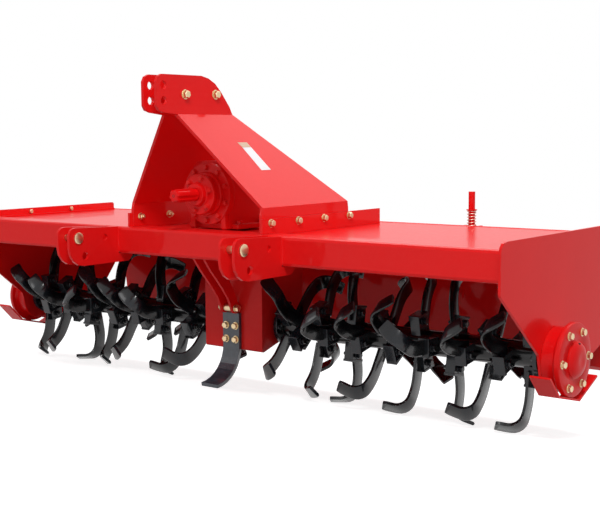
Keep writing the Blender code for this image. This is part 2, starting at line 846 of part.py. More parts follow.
for name, side in SIDES.items():
    profile = [
        (CASE_HALF - STUB_DEPTH, 0),
        (CASE_HALF - STUB_DEPTH, STUB),
        (ROTOR_INNER, STUB),
        (ROTOR_INNER, ROTOR_FLANGE),
        (ROTOR_INNER + ROTOR_FLANGE_T, ROTOR_FLANGE),
        (ROTOR_INNER + ROTOR_FLANGE_T, ROTOR_TUBE),
        (ROTOR_OUTER - ROTOR_FLANGE_T, ROTOR_TUBE),
        (ROTOR_OUTER - ROTOR_FLANGE_T, ROTOR_FLANGE),
        (ROTOR_OUTER, ROTOR_FLANGE),
        (ROTOR_OUTER, STUB),
        (STUB_END, STUB),
        (STUB_END, 0),
    ]
    half = piece(
        f"rotor_{name}",
        turned([(side * along, radius) for along, radius in profile], "X", (0, 0), 16),
        BLADE_BLACK,
        rotor_axis,
    )
    sockets, blades = bmesh.new(), bmesh.new()
    for x, lean, tip_side in stations():
        for turn in (0, 180):
            angle = radians(lean + turn)
            socket(sockets, side * x, angle)
            blade(blades, side * x, angle, -side * tip_side)
    weld(half, sockets, blades)

# ---------------------------------------------------------------- trailing board
BRACKET_FRONT = BAR_Y + BAR_RADIUS + GAP
board_way = (Vector(BOARD_EDGE) - Vector(HINGE)).normalized()
board_start = Vector(HINGE) + board_way * (KNUCKLE - 0.001)
lip_way = Vector((-board_way.y, board_way.x))
lip_end = Vector(BOARD_EDGE) + (board_way + lip_way).normalized() * BOARD_LIP
board = piece(
    "trailing_board",
    prism(
        sheet_outline([tuple(board_start), BOARD_EDGE, tuple(lip_end)], BOARD_SHEET),
        "X",
        -BOARD_HALF,
        BOARD_HALF,
    ),
    parent=board_axis,
)
knuckles = bmesh.new()
for x in KNUCKLES_AT:
    rod("X", HINGE, KNUCKLE, x - KNUCKLE_LENGTH / 2, x + KNUCKLE_LENGTH / 2, 12, knuckles)
LUG_OFFSET = EYE_HALF + 0.003
EYE_LUG_T = 0.006
lugs, pins = bmesh.new(), bmesh.new()
board_at_eye = HINGE[0] + (HINGE[1] - EYE_Z) * board_way.x / -board_way.y
lug_shape = rounded(
    [
        (board_at_eye - 0.003, EYE_Z - 0.030, 0),
        (ROD_Y + 0.012, EYE_Z - 0.014, 0.010),
        (ROD_Y + 0.012, EYE_Z + 0.014, 0.010),
        (board_at_eye - 0.004, EYE_Z + 0.030, 0),
    ],
    3,
)
for side in SIDES.values():
    for inner in (LUG_OFFSET, -LUG_OFFSET - EYE_LUG_T):
        low = side * ROD_X + inner
        prism(lug_shape, "X", low, low + EYE_LUG_T, lugs)
    reach = LUG_OFFSET + EYE_LUG_T + 0.004
    rod("X", (ROD_Y, EYE_Z), EYE_PIN, side * ROD_X - reach, side * ROD_X + reach, 12, pins)
weld(board, knuckles, lugs, pins)
cut(board, rod("X", HINGE, HINGE_ROD + PIN_GAP, -HALF_WIDTH, HALF_WIDTH, 10))

ear_shape = [
    (BRACKET_FRONT, BAR_Z + 0.008),
    (BRACKET_FRONT, HINGE[1] + 0.002),
    (HINGE[0] - 0.011, HINGE[1] - 0.010),
    (HINGE[0] + 0.010, HINGE[1] - 0.011),
    (HINGE[0] + 0.011, HINGE[1] + 0.008),
    (BRACKET_FRONT + 0.008, BAR_Z + 0.008),
]
hinge = piece(
    "board_hinge_rod",
    rod("X", HINGE, HINGE_ROD, -EARS_AT[-1] - EAR_T, EARS_AT[-1] + EAR_T, 10),
)
ears = bmesh.new()
for x in EARS_AT:
    prism(ear_shape, "X", x - EAR_T / 2, x + EAR_T / 2, ears)
weld(hinge, ears)
slots = bmesh.new()
EAR_ROOM = 0.003            # round an ear in its notch in the board
EAR_REACH = KNUCKLE + EAR_ROOM
for x in EARS_AT:
    box(
        (x - EAR_T / 2 - EAR_ROOM, HINGE[0] - EAR_REACH, HINGE[1] - 0.05),
        (x + EAR_T / 2 + EAR_ROOM, HINGE[0] + EAR_REACH + 0.01, HINGE[1] + EAR_REACH),
        slots,
    )
cut(board, slots)

# ---------------------------------------------------------------- pressure rods
for name, side in SIDES.items():
    x = side * ROD_X
    inner, outer = GUIDE_HALF + 0.0015, GUIDE_HALF + 0.0015 + BRACKET_T
    rear = ROD_Y + GUIDE_BLOCK
    bracket = piece(
        f"rod_bracket_{name}",
        prism(
            [
                (x - outer, BRACKET_FRONT),
                (x + outer, BRACKET_FRONT),
                (x + outer, rear),
                (x + inner, rear),
                (x + inner, BRACKET_FRONT + BRACKET_T),
                (x - inner, BRACKET_FRONT + BRACKET_T),
                (x - inner, rear),
                (x - outer, rear),
            ],
            "Z",
            HINGE[1] + KNUCKLE + 0.005,
            BAR_Z + 0.004,
        ),
    )
    cut(bracket, rod("X", (ROD_Y, GUIDE_Z), GUIDE_PIN + PIN_GAP, x - 2 * outer, x + 2 * outer, 12))
    block = GUIDE_BLOCK
    guide = piece(
        f"rod_guide_{name}",
        box(
            (x - GUIDE_HALF, ROD_Y - block, GUIDE_Z - block),
            (x + GUIDE_HALF, ROD_Y + block, GUIDE_Z + block),
        ),
        parent=guide_axis,
    )
    weld(guide, rod("X", (ROD_Y, GUIDE_Z), GUIDE_PIN, x - outer - 0.003, x + outer + 0.003, 12))
    cut(guide, rod("Z", (x, ROD_Y), ROD_RADIUS + PIN_GAP, EYE_Z, SPRING_TOP, 16))
    seat = GUIDE_Z + block + GAP
    spring_inner = ROD_RADIUS + PIN_GAP
    piece(
        f"rod_spring_{name}",
        tube_prism(
            circle((x, ROD_Y), spring_inner + SPRING_WALL, 16),
            circle((x, ROD_Y), spring_inner, 16),
            "Z",
            seat,
            SPRING_TOP,
        ),
        SPRING_STEEL,
        guide_axis,
    )
    bar = piece(
        f"pressure_rod_{name}",
        turned(
            [
                (EYE_Z + EYE_RADIUS - 0.003, 0),
                (EYE_Z + EYE_RADIUS - 0.003, ROD_RADIUS),
                (SPRING_TOP + GAP, ROD_RADIUS),
                (SPRING_TOP + GAP, WASHER),
                (SPRING_TOP + GAP + 0.003, WASHER),
                (SPRING_TOP + GAP + 0.003, ROD_RADIUS),
                (ROD_TOP, ROD_RADIUS),
                (ROD_TOP, 0),
            ],
            "Z",
            (x, ROD_Y),
            16,
        ),
        parent=rod_axis,
    )
    weld(bar, rod("X", (ROD_Y, EYE_Z), EYE_RADIUS, x - EYE_HALF, x + EYE_HALF, 16))
    cut(bar, rod("X", (ROD_Y, EYE_Z), EYE_HOLE, x - 2 * EYE_HALF, x + 2 * EYE_HALF, 16))

# ---------------------------------------------------------------- parked on the floor
# The lowest corner of the tine's tip touches the floor when the blades do.
tip_y, tip_z = max(tine_outline, key=lambda p: hypot(*p) if p[1] < TINE_BEND_Z else 0)
lean = asin(SWING_RADIUS / hypot(tip_y, tip_z)) - atan2(-tip_z, -tip_y)
stance.rotation_euler = (lean, 0, 0)

bpy.context.view_layer.update()
graph = bpy.context.evaluated_depsgraph_get()
corners = []
for obj in bpy.data.objects:
    if obj.type == "MESH" and not obj.hide_render:
        evaluated = obj.evaluated_get(graph)
        matrix = evaluated.matrix_world
        corners += [matrix @ vertex.co for vertex in evaluated.data.vertices]
low = Vector([min(c[k] for c in corners) for k in range(3)])
high = Vector([max(c[k] for c in corners) for k in range(3)])
stance.location = (-(low.x + high.x) / 2, -(low.y + high.y) / 2, -low.z)
bpy.context.view_layer.update()
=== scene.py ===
import json
from math import atan2, cos, hypot, pi, radians, sin

import bmesh
import bpy
from mathutils import Matrix, Vector


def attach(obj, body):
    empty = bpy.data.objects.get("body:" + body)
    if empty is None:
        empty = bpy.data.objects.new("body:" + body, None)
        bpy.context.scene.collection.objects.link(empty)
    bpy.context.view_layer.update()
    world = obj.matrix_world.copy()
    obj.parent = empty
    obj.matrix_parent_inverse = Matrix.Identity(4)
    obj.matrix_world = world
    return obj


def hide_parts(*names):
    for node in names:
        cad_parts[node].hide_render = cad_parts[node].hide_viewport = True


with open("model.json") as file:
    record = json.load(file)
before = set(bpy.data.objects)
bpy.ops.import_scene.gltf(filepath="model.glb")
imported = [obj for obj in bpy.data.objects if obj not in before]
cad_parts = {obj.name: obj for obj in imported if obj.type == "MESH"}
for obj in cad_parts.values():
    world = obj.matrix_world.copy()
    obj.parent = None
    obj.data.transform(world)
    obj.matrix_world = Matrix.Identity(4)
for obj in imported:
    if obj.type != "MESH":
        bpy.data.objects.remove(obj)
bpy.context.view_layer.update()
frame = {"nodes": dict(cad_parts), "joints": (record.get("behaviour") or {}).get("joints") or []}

# ---------------------------------------------------------------- how the machine stands
# The tiller is drawn level: X along the rotor, Y to the rear, Z up from the rotor's axis.
# STANCE leans it forward on its tine, as it parks. The lean is read from the input shaft.
joints = {joint["name"]: joint for joint in frame["joints"]}
input_way = Vector(joints["input_spin"]["axis"])
STANCE = Matrix.Translation(joints["rotor_spin"]["pos_m"]) @ Matrix.Rotation(
    -atan2(input_way.z, -input_way.y), 4, "X"
)
SIDES = {"left": 1, "right": -1}


# ---------------------------------------------------------------- camera, floor and light
# A long lens at knee height looks at the machine from ahead of its left end. It stands on a
# plain white floor, under one strong lamp, two weak ones and a soft white surround.
def place_camera():
    eye = Vector((2.4359, -2.8706, 0.6161))
    yaw, pitch, roll = radians(37.92), radians(-6.53), radians(-0.44)
    ahead = Vector((-sin(yaw) * cos(pitch), cos(yaw) * cos(pitch), sin(pitch)))
    right = ahead.cross(Vector((0, 0, 1))).normalized()
    up = right.cross(ahead)
    level_right = cos(roll) * right + sin(roll) * up
    level_up = -sin(roll) * right + cos(roll) * up
    turn = Matrix((level_right, level_up, -ahead)).transposed().to_4x4()
    data = bpy.data.cameras.new("camera")
    data.lens = 68.5
    data.sensor_width = 36
    data.clip_end = 200
    camera = bpy.data.objects.new("camera", data)
    camera.matrix_world = STANCE @ Matrix.Translation(eye) @ turn
    bpy.context.scene.collection.objects.link(camera)
    bpy.context.scene.camera = camera


def add_lamp(name, place, target, size, power):
    data = bpy.data.lights.new(name, "AREA")
    data.shape = "RECTANGLE"
    data.size, data.size_y = size
    data.energy = power
    lamp = bpy.data.objects.new(name, data)
    lamp.location = place
    lamp.rotation_euler = (Vector(target) - Vector(place)).to_track_quat("-Z", "Y").to_euler()
    bpy.context.scene.collection.objects.link(lamp)


def seen_or_mirrored(tree):
    """1 where a camera, glossy or transmission ray meets the backdrop, else 0."""
    path = tree.nodes.new("ShaderNodeLightPath")
    shown = path.outputs["Is Camera Ray"]
    for kind in ("Is Glossy Ray", "Is Transmission Ray"):
        either = tree.nodes.new("ShaderNodeMath")
        either.operation = "MAXIMUM"
        tree.links.new(shown, either.inputs[0])
        tree.links.new(path.outputs[kind], either.inputs[1])
        shown = either.outputs[0]
    return shown


def light_the_world():
    world = bpy.data.worlds.new("studio")
    bpy.context.scene.world = world
    world.use_nodes = True
    tree = world.node_tree
    tree.nodes.clear()
    soft = tree.nodes.new("ShaderNodeBackground")
    soft.inputs["Color"].default_value = (0.95, 0.97, 1.0, 1)
    soft.inputs["Strength"].default_value = 0.42
    white = tree.nodes.new("ShaderNodeBackground")
    white.inputs["Color"].default_value = (1, 1, 1, 1)
    mix = tree.nodes.new("ShaderNodeMixShader")
    out = tree.nodes.new("ShaderNodeOutputWorld")
    tree.links.new(seen_or_mirrored(tree), mix.inputs[0])
    tree.links.new(soft.outputs[0], mix.inputs[1])
    tree.links.new(white.outputs[0], mix.inputs[2])
    tree.links.new(mix.outputs[0], out.inputs["Surface"])


def lay_floor():
    half = 40.0
    corners = [(-half, -half, 0), (half, -half, 0), (half, half, 0), (-half, half, 0)]
    mesh = bpy.data.meshes.new("floor")
    mesh.from_pydata(corners, [], [(0, 1, 2, 3)])
    floor = bpy.data.objects.new("floor", mesh)
    bpy.context.scene.collection.objects.link(floor)
    material = bpy.data.materials.new("studio_floor")
    material.use_nodes = True
    tree = material.node_tree
    shader = tree.nodes["Principled BSDF"]
    shader.inputs["Base Color"].default_value = (0.50, 0.50, 0.50, 1)
    shader.inputs["Roughness"].default_value = 0.9
    shader.inputs["Specular IOR Level"].default_value = 0.1
    shader.inputs["Emission Color"].default_value = (1, 1, 1, 1)
    lift = tree.nodes.new("ShaderNodeMath")
    lift.operation = "MULTIPLY"
    lift.inputs[1].default_value = 0.80
    tree.links.new(seen_or_mirrored(tree), lift.inputs[0])
    tree.links.new(lift.outputs[0], shader.inputs["Emission Strength"])
    mesh.materials.append(material)


bpy.context.scene.view_settings.view_transform = "Standard"
place_camera()
light_the_world()
lay_floor()
add_lamp("key", (3.2, -4.2, 4.4), (0.2, 0, 0.4), (1.4, 1.0), 185)
add_lamp("front_fill", (-3.6, -4.4, 1.7), (-0.2, 0, 0.4), (2.0, 0.8), 16)
add_lamp("over", (-0.4, 1.8, 3.8), (0, 0, 0.5), (3.6, 2.0), 70)


# ---------------------------------------------------------------- paint and metal
# Sprayed paint lies in a faint orange peel with slow shade changes; corners catch the light
# because every real edge is slightly round, and on edges the coat is thin.
def new_group(name, inputs, outputs):
    group = bpy.data.node_groups.new(name, "ShaderNodeTree")
    for socket, kind, value in inputs:
        made = group.interface.new_socket(socket, in_out="INPUT", socket_type="NodeSocket" + kind)
        made.default_value = value
    for socket, kind in outputs:
        group.interface.new_socket(socket, in_out="OUTPUT", socket_type="NodeSocket" + kind)
    tree_in = group.nodes.new("NodeGroupInput")
    tree_out = group.nodes.new("NodeGroupOutput")
    return group, tree_in, tree_out


def add_node(tree, kind, settings=(), **values):
    node = tree.nodes.new("ShaderNode" + kind)
    for key, value in settings:
        setattr(node, key, value)
    for socket, value in values.items():
        node.inputs[socket.replace("_", " ")].default_value = value
    return node


def make_coat_group():
    group, tree_in, tree_out = new_group(
        "sprayed_coat",
        [
            ("Colour", "Color", (0.8, 0.1, 0.1, 1)),
            ("Edge Colour", "Color", (0.9, 0.3, 0.3, 1)),
            ("Shade Change", "Float", 0.12),
            ("Peel", "Float", 0.05),
            ("Peel Scale", "Float", 320.0),
            ("Roughness", "Float", 0.25),
            ("Edge Round", "Float", 0.0012),
            ("Edge Wear", "Float", 0.3),
        ],
        [("Colour", "Color"), ("Roughness", "Float"), ("Normal", "Vector")],
    )
    link = group.links.new
    where = add_node(group, "TexCoord")
    slow = add_node(group, "TexNoise", Scale=5.0, Detail=4.0, Roughness=0.6)
    fine = add_node(group, "TexNoise", Detail=2.0)
    specks = add_node(group, "TexNoise", Scale=70.0, Detail=5.0, Roughness=0.7)
    for noise in (slow, fine, specks):
        link(where.outputs["Object"], noise.inputs["Vector"])
    link(tree_in.outputs["Peel Scale"], fine.inputs["Scale"])
    centred = add_node(group, "Math", [("operation", "SUBTRACT")])
    centred.inputs[1].default_value = 0.5
    link(slow.outputs["Fac"], centred.inputs[0])
    swing = add_node(group, "Math", [("operation", "MULTIPLY_ADD")])
    swing.inputs[2].default_value = 1.0
    link(centred.outputs[0], swing.inputs[0])
    link(tree_in.outputs["Shade Change"], swing.inputs[1])
    shade = add_node(group, "HueSaturation")
    link(tree_in.outputs["Colour"], shade.inputs["Color"])
    link(swing.outputs[0], shade.inputs["Value"])
    shape = add_node(group, "NewGeometry")
    edge = add_node(group, "MapRange")
    for socket, value in (("From Min", 0.53), ("From Max", 0.60), ("To Min", 0.0), ("To Max", 1.0)):
        edge.inputs[socket].default_value = value
    link(shape.outputs["Pointiness"], edge.inputs["Value"])
    broken = add_node(group, "Math", [("operation", "MULTIPLY")])
    link(edge.outputs["Result"], broken.inputs[0])
    link(specks.outputs["Fac"], broken.inputs[1])
    worn = add_node(group, "Math", [("operation", "MULTIPLY"), ("use_clamp", True)])
    link(broken.outputs[0], worn.inputs[0])
    link(tree_in.outputs["Edge Wear"], worn.inputs[1])
    colour = add_node(group, "Mix", [("data_type", "RGBA")])
    link(worn.outputs[0], colour.inputs["Factor"])
    link(shade.outputs["Color"], colour.inputs[6])
    link(tree_in.outputs["Edge Colour"], colour.inputs[7])
    link(colour.outputs[2], tree_out.inputs["Colour"])
    gloss = add_node(group, "Math", [("operation", "MULTIPLY_ADD")])
    gloss.inputs[1].default_value = 0.10
    link(specks.outputs["Fac"], gloss.inputs[0])
    link(tree_in.outputs["Roughness"], gloss.inputs[2])
    link(gloss.outputs[0], tree_out.inputs["Roughness"])
    corner = add_node(group, "Bevel", [("samples", 4)])
    link(tree_in.outputs["Edge Round"], corner.inputs["Radius"])
    bump = add_node(group, "Bump", Distance=0.0006)
    link(fine.outputs["Fac"], bump.inputs["Height"])
    link(tree_in.outputs["Peel"], bump.inputs["Strength"])
    link(corner.outputs["Normal"], bump.inputs["Normal"])
    link(bump.outputs["Normal"], tree_out.inputs["Normal"])
    return group


COAT = make_coat_group()


def coated(name, colour, edge, metallic=0.0, coat=0.0, specular=0.5, **values):
    """A finish whose colour, roughness and relief come from the sprayed_coat group."""
    material = bpy.data.materials.new(name)
    material.use_nodes = True
    tree = material.node_tree
    shader = tree.nodes["Principled BSDF"]
    group = tree.nodes.new("ShaderNodeGroup")
    group.node_tree = COAT
    group.inputs["Colour"].default_value = (*colour, 1)
    group.inputs["Edge Colour"].default_value = (*edge, 1)
    for socket, value in values.items():
        group.inputs[socket.replace("_", " ")].default_value = value
    shader.inputs["Metallic"].default_value = metallic
    shader.inputs["Coat Weight"].default_value = coat
    shader.inputs["Coat Roughness"].default_value = 0.04
    shader.inputs["Specular IOR Level"].default_value = specular
    tree.links.new(group.outputs["Colour"], shader.inputs["Base Color"])
    tree.links.new(group.outputs["Roughness"], shader.inputs["Roughness"])
    tree.links.new(group.outputs["Normal"], shader.inputs["Normal"])
    return material


RED = coated(
    "red_enamel", (0.88, 0.006, 0.007), (0.92, 0.05, 0.045), coat=0.16, specular=0.04, Roughness=0.26,
)
RED_CAST = coated(
    "red_enamel_on_casting", (0.80, 0.006, 0.007), (0.9, 0.09, 0.07), coat=0.12, specular=0.08,
    Roughness=0.33, Peel=0.55, Peel_Scale=240.0, Edge_Round=0.0025,
)
BLACK = coated(
    "black_enamel", (0.003, 0.003, 0.0035), (0.05, 0.065, 0.09), coat=0.25, specular=0.30,
    Roughness=0.16, Peel=0.25, Peel_Scale=150.0, Edge_Wear=0.7,
)
TINE_STEEL = coated(
    "tine_enamel", (0.010, 0.012, 0.016), (0.10, 0.12, 0.16), coat=0.3,
    Roughness=0.26, Peel=0.3, Peel_Scale=120.0, Edge_Wear=0.8,
)
ZINC = coated(
    "yellow_zinc", (0.72, 0.56, 0.34), (0.85, 0.78, 0.62), metallic=1.0,
    Roughness=0.30, Shade_Change=0.6, Peel=0.15, Edge_Round=0.0005,
)
SPRING_STEEL = coated(
    "spring_wire", (0.72, 0.35, 0.28), (0.9, 0.8, 0.75), metallic=1.0,
    Roughness=0.30, Shade_Change=0.4, Edge_Round=0.0002,
)
LABEL_WHITE = coated("label_white", (0.82, 0.83, 0.84), (0.9, 0.9, 0.9), Roughness=0.35, Edge_Wear=0.0)
LABEL_TAN = coated("label_tan", (0.60, 0.38, 0.22), (0.8, 0.6, 0.4), Roughness=0.35, Edge_Wear=0.0)
# The next finish is painted shade: a dark red that stands for the shade inside small holes, used for the
# bearing caps' vents and the shaft end's centre hole.
HOLE_SHADE = coated("painted_hole_shade", (0.03, 0.004, 0.004), (0.05, 0.01, 0.01), Roughness=0.6, Edge_Wear=0.0)

CASTINGS = ("final_drive_case", "gearbox_housing")
for name, node in frame["nodes"].items():
    finish = RED_CAST if name in CASTINGS else RED
    node.data.materials.clear()
    node.data.materials.append(finish)


# ---------------------------------------------------------------- rotor
# Each half is a tube with a bolted flange at both ends and a row of blade holders. Every
# holder is a welded steel box that grips a forged C-shaped blade with one through bolt.
def finished(name, bm, finish, body, *replaced, smooth=35, bevel=0.0):
    """Stands a level-drawn mesh on the floor as a piece of one body."""
    bmesh.ops.recalc_face_normals(bm, faces=bm.faces)
    bm.transform(STANCE)
    mesh = bpy.data.meshes.new(name)
    bm.to_mesh(mesh)
    bm.free()
    mesh.shade_smooth()
    mesh.set_sharp_from_angle(angle=radians(smooth))
    piece = bpy.data.objects.new(name, mesh)
    bpy.context.scene.collection.objects.link(piece)
    mesh.materials.append(finish)
    if bevel:
        edge = piece.modifiers.new("edge", "BEVEL")
        edge.width = bevel
        edge.segments = 2
        edge.limit_method = "ANGLE"
        edge.angle_limit = radians(40)
        edge.harden_normals = True
    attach(piece, body)
    if replaced:
        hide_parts(*replaced)
    return piece


def along(axis, centre=(0, 0, 0), sign=1):
    """A frame whose Z runs along one of the machine's axes, at centre."""
    turn = {
        "X": Matrix.Rotation(sign * pi / 2, 4, "Y"),
        "Y": Matrix.Rotation(-sign * pi / 2, 4, "X"),
        "Z": Matrix.Identity(4) if sign > 0 else Matrix.Rotation(pi, 4, "X"),
    }[axis]
    return Matrix.Translation(centre) @ turn


def turned(bm, place, profile, sides=48, start=0.0):
    """Turns (height, radius) points round place's Z; a radius of 0 closes the end."""
    rings = []
    for height, radius in profile:
        count = sides if radius else 1
        rings.append(
            [
                bm.verts.new(
                    place
                    @ Vector(
                        (
                            radius * cos(start + 2 * pi * i / sides),
                            radius * sin(start + 2 * pi * i / sides),
                            height,
                        )
                    )
                )
                for i in range(count)
            ]
        )
    for low, high in zip(rings, rings[1:]):
        for i in range(sides):
            j = (i + 1) % sides
            loop = [low[i % len(low)], low[j % len(low)], high[j % len(high)], high[i % len(high)]]
            bm.faces.new(list(dict.fromkeys(loop)))
    return bm


def block(bm, place, size):
    """A box centred on place, with its size along place's own axes."""
    x, y, z = (s / 2 for s in size)
    corners = ((-x, -y), (x, -y), (x, y), (-x, y))
    low = [bm.verts.new(place @ Vector((*corner, -z))) for corner in corners]
    high = [bm.verts.new(place @ Vector((*corner, z))) for corner in corners]
    bm.faces.new(low)
    bm.faces.new(high)
    for i in range(4):
        j = (i + 1) % 4
        bm.faces.new((low[i], low[j], high[j], high[i]))
    return bm


def hexagon(bm, place, across, height, turn=0.3):
    """A hexagon head or nut with its chamfered crown, standing on place."""
    corner = across / 2 / cos(pi / 6)
    crown = [(height * 0.82, corner), (height, corner * 0.84), (height * 1.02, 0)]
    profile = [(0, 0), (0, corner), *crown]
    return turned(bm, place, profile, 6, turn)


def bolt(bm, place, across, turn=0.3, washer=True, stem=0.0):
    """A hexagon head on its washer, with a stem end above it when it is a nut."""
    lift = 0.0
    if washer:
        lift = across * 0.10
        reach = across * 0.70
        rim = [(0, reach), (lift * 0.8, reach), (lift, reach * 0.96)]
        turned(bm, place, [(0, 0), *rim, (lift, 0)], 24)
    hexagon(bm, place @ Matrix.Translation((0, 0, lift)), across, across * 0.58, turn)
    if stem:
        radius = across * 0.29
        top = lift + across * 0.58
        turned(
            bm, place,
            [(top, radius), (top + stem * 0.8, radius), (top + stem, radius * 0.8), (top + stem, 0)], 16,
        )
    return bm


SWING_RADIUS = 0.225
TUBE_RADIUS = 0.038
HOLDER = (0.032, 0.052)
HOLDER_REACH = 0.088
HOLDER_BOLT_OUT, HOLDER_BOLT = 0.066, 0.019
FLANGE_BOLT_CIRCLE = 0.051
BLADE_WIDTH = 0.040
BLADE_T = 0.009
SHANK, SWEEP_RADIUS, SWEEP, TIP_RUN = 0.094, 0.118, radians(62), 0.026
FOLD_AT, FOLD_RADIUS, FOLD_ANGLE = 0.062, 0.036, radians(78)
FIRST_STATION = 1.020
STATION_PITCH = 0.0605
LEAN_OF_LOWER_BLADES = (7, 27, -11, 12, 33, -8, 18, 41)
TIP_SIDES = (1, 1, -1, 1, 1, 1, -1, -1)


def blade_sections(steps=14):
    """Corners of each section of a blade, as (radial, trailing, axial)."""
    line = [(0.040, 0.0, 0.0, -SHANK + 0.040), (SHANK, 0.0, 0.0, 0.0)]
    for step in range(1, steps + 1):
        angle = SWEEP * step / steps
        out, back = SHANK + SWEEP_RADIUS * sin(angle), SWEEP_RADIUS * (1 - cos(angle))
        line.append((out, back, angle, SWEEP_RADIUS * angle))
    r, t, angle, run = line[-1]
    for share in (0.5, 0.85, 1.0):
        reach = TIP_RUN * share
        line.append((r + reach * cos(angle), t + reach * sin(angle), angle, run + reach))
    fold_heading = FOLD_AT / SWEEP_RADIUS
    fold = Vector(
        (SHANK + SWEEP_RADIUS * sin(fold_heading), SWEEP_RADIUS * (1 - cos(fold_heading)))
    )
    ahead = Vector((cos(fold_heading), sin(fold_heading)))
    total = line[-1][3]
    sections = []
    for r, t, angle, run in line:
        near_end = max(0.0, (run - total + 0.012) / 0.012)
        half_width = BLADE_WIDTH / 2 * (1 - 0.16 * near_end ** 2)
        across = Vector((-sin(angle), cos(angle)))
        corners = []
        for edge, layer in ((-1, -0.35), (-0.78, -1), (1, -1), (1, 1), (-0.78, 1), (-1, 0.35)):
            flat = Vector((r, t)) + across * half_width * edge
            depth = BLADE_T / 2 * layer
            past = (flat - fold).dot(ahead)
            if past <= 0:
                corners.append((flat.x, flat.y, depth))
                continue
            turn = min(past / FOLD_RADIUS, FOLD_ANGLE)
            rest = past - turn * FOLD_RADIUS
            ahead_by = (FOLD_RADIUS - depth) * sin(turn) + rest * cos(turn)
            rise = FOLD_RADIUS - (FOLD_RADIUS - depth) * cos(turn) + rest * sin(turn)
            moved = flat + ahead * (ahead_by - past)
            corners.append((moved.x, moved.y, rise))
        sections.append(corners)
    reach = max(hypot(r, t) for corners in sections for r, t, _ in corners)
    scale = (SWING_RADIUS - 0.0005) / reach
    return [[(r * scale, t * scale, a) for r, t, a in corners] for corners in sections]


BLADE = blade_sections()


def add_blade(bm, x, lean, tip_side):
    out = Vector((0, -sin(lean), -cos(lean)))
    trail = Vector((0, -cos(lean), sin(lean)))
    rings = [
        [
            bm.verts.new(Vector((x + tip_side * a, 0, 0)) + out * r + trail * t)
            for r, t, a in corners
        ]
        for corners in BLADE
    ]
    count = len(rings[0])
    for inner, outer in zip(rings, rings[1:]):
        for i in range(count):
            j = (i + 1) % count
            bm.faces.new((inner[i], inner[j], outer[j], outer[i]))
    bm.faces.new(rings[0])
    bm.faces.new(rings[-1])


def add_holder(bm, x, lean, side):
    """The holder's box, a lip round its outer end and the head and nut of its bolt."""
    place = Matrix.Translation((x, 0, 0)) @ Matrix.Rotation(pi + lean, 4, "X")
    length = HOLDER_REACH - TUBE_RADIUS * 0.7
    middle = place @ Matrix.Translation((0, 0, TUBE_RADIUS * 0.7 + length / 2))
    block(bm, middle, (HOLDER[0], HOLDER[1], length))
    lip = place @ Matrix.Translation((0, 0, HOLDER_REACH - 0.004))
    block(bm, lip, (HOLDER[0] + 0.004, HOLDER[1] + 0.004, 0.007))
    for way, stem in ((side, 0.0), (-side, 0.006)):
        turn = Matrix.Rotation(way * pi / 2, 4, "Y")
        spot = place @ Matrix.Translation((way * HOLDER[0] / 2, 0, HOLDER_BOLT_OUT)) @ turn
        bolt(bm, spot, HOLDER_BOLT, stem=stem)


def stations():
    """Distance out, lean of the lower blade in degrees and tip side of every station."""
    lower = LEAN_OF_LOWER_BLADES
    rows = []
    for i, lean in enumerate(lower):
        rows.append((FIRST_STATION - 2 * i * STATION_PITCH, lean, TIP_SIDES[i]))
    for i, (lean, after) in enumerate(zip(lower, lower[1:])):
        between = (lean + after) / 2 + 90
        rows.append((FIRST_STATION - (2 * i + 1) * STATION_PITCH, between, -TIP_SIDES[i]))
    return rows


for name, side in SIDES.items():
    tube, blades, holders = bmesh.new(), bmesh.new(), bmesh.new()
    turned(
        tube, along("X", sign=side),
        [
            (0.104, 0), (0.104, 0.0215), (0.137, 0.0215), (0.137, 0.0615), (0.1475, 0.0615),
            (0.149, 0.060), (0.149, 0.044), (0.154, 0.038), (1.044, 0.038), (1.048, 0.044),
            (1.048, 0.0615), (1.060, 0.0615), (1.060, 0.0215), (1.1175, 0.0215), (1.1175, 0),
        ],
    )
    for flange, way in ((0.149, 1), (1.048, -1)):
        for step in range(6):
            angle = 2 * pi * step / 6
            spot = (
                side * flange, FLANGE_BOLT_CIRCLE * cos(angle), FLANGE_BOLT_CIRCLE * sin(angle),
            )
            bolt(tube, along("X", spot, side * way), 0.013, washer=False)
    for x, lean, tip_side in stations():
        for turn in (0, 180):
            angle = radians(lean + turn)
            add_holder(holders, side * x, angle, side)
            add_blade(blades, side * x, angle, -side * tip_side)
    finished(f"rotor_tube_{name}", tube, BLACK, "rotor", f"rotor_{name}")
    finished(f"rotor_holders_{name}", holders, BLACK, "rotor", bevel=0.0012)
    finished(f"rotor_blades_{name}", blades, BLACK, "rotor", smooth=50, bevel=0.0008)
